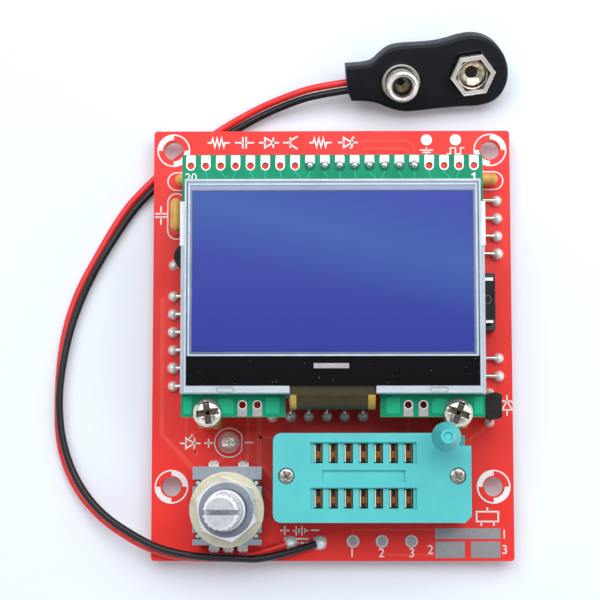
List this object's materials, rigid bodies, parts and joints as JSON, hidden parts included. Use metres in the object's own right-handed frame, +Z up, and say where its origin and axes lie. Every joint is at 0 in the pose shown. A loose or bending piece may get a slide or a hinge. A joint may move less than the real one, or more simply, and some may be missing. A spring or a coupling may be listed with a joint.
{
  "type": "component tester",
  "caption": "Open-board electronic component tester with raised blue display, lever test socket, push-and-turn encoder and battery snap lead.",
  "frame": {"origin": "on the surface the tester stands on, below the middle of the main board", "axes": "+Z up; +Y along the long side of the board, towards the display's header row; +X to the right as the display is read"},
  "size_m": [0.0814, 0.094, 0.0306],
  "materials": {
    "red_board": "red solder mask, satin gloss",
    "green_board": "green solder mask, satin gloss",
    "solder": "bright tin solder",
    "nickel": "bright nickel plate",
    "zinc": "matt die-cast zinc",
    "yellow_zinc": "yellow passivated steel",
    "brass": "plain brass",
    "bronze": "gold-washed spring bronze",
    "clear_plastic": "milky clear light guide",
    "display_glass": "clear glass",
    "blue_film": "deep blue polarizing film",
    "black_plastic": "black moulded plastic",
    "black_film": "black light-shield film",
    "amber_film": "amber polyimide film",
    "chip": "dark grey moulding compound",
    "resistor_body": "pale blue lacquer",
    "ceramic": "ochre dipped coating",
    "can": "dark sleeve",
    "clear_lens": "clear epoxy",
    "teal_plastic": "teal moulded plastic",
    "grey_plastic": "grey moulded plastic",
    "red_insulation": "red soft vinyl",
    "black_insulation": "black soft vinyl",
    "black_vinyl": "black soft moulded vinyl",
    "fibre": "pressed fibre sheet",
    "white_ink": "white screen-printed ink"
  },
  "bodies": {
    "tester": {"main_board": "red_board", "zif_solder_joints": "solder", "lcd_solder_joints": "solder", "encoder_solder_joints": "solder", "component_solder_joints": "solder", "top_solder_fillets": "solder", "lead_solder": "solder", "lcd_board": "green_board", "lcd_standoffs": "brass", "lcd_screws": "nickel", "standoff_screws": "nickel", "lcd_socket": "black_plastic", "lcd_socket_tails": "nickel", "lcd_header_strip": "black_plastic", "lcd_header_pins": "nickel", "lcd_backlight": "clear_plastic", "lcd_rear_glass": "display_glass", "lcd_front_glass": "display_glass", "lcd_polarizer": "blue_film", "lcd_driver_chip": "chip", "lcd_light_shield": "black_film", "lcd_flex": "amber_film", "ic_socket": "black_plastic", "ic_socket_tails": "nickel", "microcontroller": "chip", "microcontroller_leads": "nickel", "crystal": "nickel", "resistors": "resistor_body", "resistor_leads": "nickel", "ceramic_capacitors": "ceramic", "ceramic_capacitor_leads": "nickel", "electrolytic_capacitors": "can", "electrolytic_leads": "nickel", "small_transistors": "chip", "transistor_leads": "nickel", "led_lens": "clear_lens", "led_leads": "nickel", "encoder_base": "grey_plastic", "encoder_frame": "zinc", "encoder_bracket": "nickel", "encoder_washer": "yellow_zinc", "encoder_nut": "nickel", "encoder_terminals": "nickel", "encoder_switch_dome": "nickel", "zif_base": "teal_plastic", "zif_cover": "teal_plastic", "zif_contacts": "bronze", "zif_cover_screws": "nickel", "red_wire": "red_insulation", "black_wire": "black_insulation", "snap_cover": "black_vinyl", "snap_plate": "fibre", "snap_stud": "nickel", "snap_socket": "nickel"},
    "encoder_rotor_body": {"encoder_rotor": "black_plastic"},
    "encoder_shaft_body": {"encoder_shaft": "zinc"},
    "lever": {"zif_lever": "nickel", "zif_knob": "teal_plastic"},
    "slider": {"zif_slider": "teal_plastic"}
  },
  "joints": [
    {"name": "encoder_turn", "type": "hinge", "parent": "tester", "child": "encoder_rotor_body", "pos_m": [-0.01814, -0.02902, 0.0071], "axis": [0, 0, 1], "continuous": true},
    {"name": "encoder_push", "type": "slide", "parent": "encoder_rotor_body", "child": "encoder_shaft_body", "axis": [0, 0, -1], "range_m": [0, 0.0005], "stiffness_N_per_m": 2000, "springref_m": -0.001, "deforming": ["encoder_switch_dome"]},
    {"name": "zif_lever_swing", "type": "hinge", "parent": "tester", "child": "lever", "pos_m": [0.0186, -0.0168, 0.008], "axis": [0, 1, 0], "range_deg": [0, 90]},
    {"name": "zif_slide", "type": "slide", "parent": "tester", "child": "slider", "axis": [1, 0, 0], "range_m": [0, 0.0006]}
  ],
  "couplings": [
    {"joint": "zif_lever_swing", "follows": "zif_slide", "rad_per_m": 2617.9}
  ]
}
